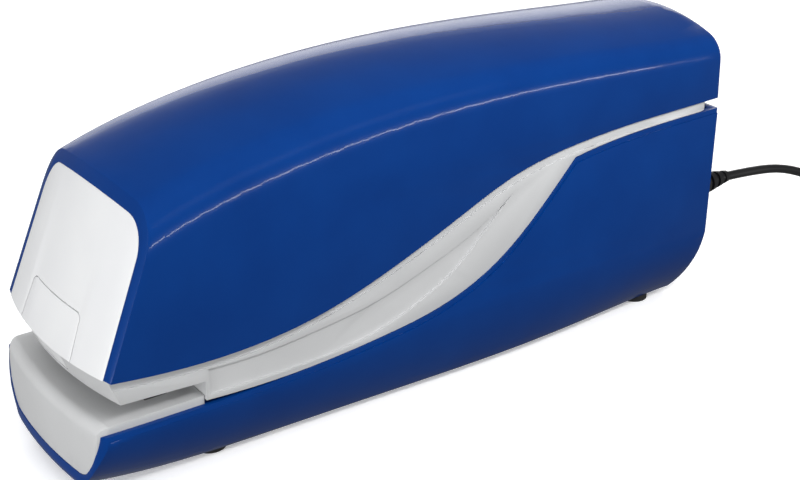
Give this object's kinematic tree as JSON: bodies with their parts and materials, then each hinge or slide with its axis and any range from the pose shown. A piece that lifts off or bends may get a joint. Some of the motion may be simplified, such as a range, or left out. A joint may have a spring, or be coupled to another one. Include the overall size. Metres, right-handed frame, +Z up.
{
  "type": "electric stapler",
  "caption": "Desk-top electric stapler with a rounded upper shell, front staple drawer, motor driven hammer arm, paper slot and a mains adapter lead.",
  "frame": {"origin": "Centre of the housing's plan outline, on the plane the rubber feet stand on; the lead is not counted.", "axes": "X across the width, +Y towards the rear where the lead leaves, -Y towards the stapling throat, +Z up."},
  "size_m": [0.067, 0.46, 0.0929],
  "materials": {
    "blue_shell": "glossy moulded royal blue",
    "white_cover": "satin white",
    "grey_body": "satin light grey",
    "anvil_steel": "hardened, dark",
    "foot_rubber": "matt rubber",
    "zinc_screw": "zinc plated",
    "sheet_steel": "zinc plated sheet",
    "staple_wire": "galvanised wire",
    "spring_steel": "spring wire",
    "hard_steel": "ground",
    "black_plastic": "moulded black",
    "gear_nylon": "natural acetal",
    "pinion_brass": "turned",
    "motor_steel": "plated motor can",
    "board_green": "solder mask",
    "component_black": "moulded components",
    "switch_red": "red button",
    "lead_black": "soft black PVC",
    "adapter_black": "textured black",
    "pin_nickel": "nickel plated",
    "wire_red": "wire insulation"
  },
  "bodies": {
    "root": {"adapter_pins": "pin_nickel", "anvil_plate": "anvil_steel", "anvil_tray": "grey_body", "arm_pivot": "hard_steel", "arm_spring": "spring_steel", "base_screws": "zinc_screw", "base_shell": "blue_shell", "board_parts": "component_black", "chassis_centre": "sheet_steel", "chassis_left": "sheet_steel", "chassis_right": "sheet_steel", "chassis_screws": "zinc_screw", "chassis_spacers": "hard_steel", "circuit_board": "board_green", "dc_jack": "black_plastic", "dc_plug": "lead_black", "drawer_catch": "black_plastic", "driver_guide": "black_plastic", "front_cover": "white_cover", "gear_axles": "hard_steel", "home_switch": "black_plastic", "lead_coil": "lead_black", "lead_tail": "lead_black", "lead_tie": "lead_black", "lever_pin": "hard_steel", "magazine_guide": "black_plastic", "mid_housing": "grey_body", "motor_can": "motor_steel", "motor_cap": "black_plastic", "motor_mount": "sheet_steel", "motor_screws": "zinc_screw", "motor_wires": "wire_red", "paper_switch": "black_plastic", "power_lead": "lead_black", "rubber_feet": "foot_rubber", "strain_relief": "lead_black", "upper_housing": "blue_shell", "wall_adapter": "adapter_black"},
    "drawer": {"drawer_front": "white_cover", "magazine_channel": "sheet_steel", "staple_strip": "staple_wire", "pusher_rail": "sheet_steel"},
    "pusher": {"pusher": "black_plastic", "pusher_spring": "spring_steel"},
    "driver": {"driver_blade": "hard_steel", "driver_carrier": "black_plastic"},
    "arm": {"hammer_arm": "sheet_steel", "arm_pin": "hard_steel"},
    "cam": {"cam_gear": "gear_nylon", "drive_cam": "gear_nylon", "cam_shaft": "hard_steel"},
    "second_gear": {"second_gear": "gear_nylon"},
    "first_gear": {"first_gear": "gear_nylon"},
    "rotor": {"motor_pinion": "pinion_brass", "motor_shaft": "hard_steel"},
    "paper_lever": {"paper_lever": "grey_body"},
    "plunger": {"switch_plunger": "switch_red"}
  },
  "joints": [
    {"name": "drawer_slide", "type": "slide", "parent": "root", "child": "drawer", "axis": [0, -1, 0], "range_m": [0, 0.06]},
    {"name": "pusher_slide", "type": "slide", "parent": "drawer", "child": "pusher", "axis": [0, 1, 0], "range_m": [0, 0.016], "stiffness_N_per_m": 60, "springref_m": -0.02, "deforming": ["pusher_spring"]},
    {"name": "cam_turn", "type": "hinge", "parent": "root", "child": "cam", "pos_m": [0, -0.022, 0.064], "axis": [1, 0, 0], "range_deg": [-1, 181]},
    {"name": "driver_slide", "type": "slide", "parent": "root", "child": "driver", "axis": [0, 0, -1], "range_m": [0, 0.014]},
    {"name": "arm_swing", "type": "hinge", "parent": "root", "child": "arm", "pos_m": [0, 0.016, 0.0508], "axis": [1, 0, 0], "range_deg": [-0.05, 8.54]},
    {"name": "second_gear_turn", "type": "hinge", "parent": "root", "child": "second_gear", "pos_m": [0, 0.00522, 0.05721], "axis": [1, 0, 0], "range_deg": [-721, 1]},
    {"name": "first_gear_turn", "type": "hinge", "parent": "root", "child": "first_gear", "pos_m": [0, 0.02607, 0.05721], "axis": [1, 0, 0], "range_deg": [-1, 2401]},
    {"name": "rotor_turn", "type": "hinge", "parent": "root", "child": "rotor", "pos_m": [0, 0.04772, 0.05721], "axis": [1, 0, 0], "range_deg": [-8401, 1]},
    {"name": "paper_lever_swing", "type": "hinge", "parent": "root", "child": "paper_lever", "pos_m": [0.0175, -0.066, 0.046], "axis": [1, 0, 0], "range_deg": [0, 7], "stiffness_Nm_per_rad": 0.01, "springref_deg": -5.73},
    {"name": "plunger_slide", "type": "slide", "parent": "root", "child": "plunger", "axis": [0, 1, 0], "range_m": [0, 0.00123]}
  ],
  "couplings": [
    {"joint": "cam_turn", "follows": "driver_slide", "rad_per_m": 224.4},
    {"joint": "arm_swing", "follows": "driver_slide", "rad_per_m": 10.587},
    {"joint": "second_gear_turn", "follows": "driver_slide", "rad_per_m": -897.6},
    {"joint": "first_gear_turn", "follows": "driver_slide", "rad_per_m": 2992},
    {"joint": "rotor_turn", "follows": "driver_slide", "rad_per_m": -10472},
    {"joint": "plunger_slide", "follows": "paper_lever_swing", "m_per_rad": 0.01}
  ]
}
